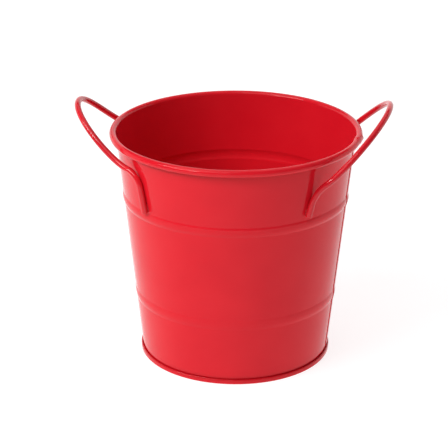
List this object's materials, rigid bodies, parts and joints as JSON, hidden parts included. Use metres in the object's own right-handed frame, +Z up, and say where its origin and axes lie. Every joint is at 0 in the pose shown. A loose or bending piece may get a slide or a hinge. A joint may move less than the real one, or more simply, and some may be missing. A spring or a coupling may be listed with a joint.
{
  "type": "sand bucket",
  "caption": "Small tapered sheet-steel bucket with a rolled rim, outward ribs, a seamed base and fixed wire loop handles, glossy red enamel all over.",
  "frame": {"origin": "on the bucket's axis, in the plane of the base seam's lower face, which stands on the floor", "axes": "+Z up along the bucket's axis, +X towards the middle of the right handle and the side seam, -Y towards the viewer"},
  "size_m": [0.2056, 0.165, 0.1757],
  "materials": {
    "red_enamel": "gloss red enamel on steel sheet",
    "red_enamel_wire": "gloss red enamel on steel wire",
    "bare_steel_wire": "bare drawn wire, hidden in the rim",
    "seam_compound": "matt sealing compound, hidden in the seam"
  },
  "bodies": {
    "root": {"wall": "red_enamel", "base": "red_enamel", "left_handle": "red_enamel_wire", "right_handle": "red_enamel_wire", "left_handle_welds": "red_enamel_wire", "right_handle_welds": "red_enamel_wire", "rim_wire": "bare_steel_wire", "base_seam_compound": "seam_compound"}
  },
  "joints": []
}
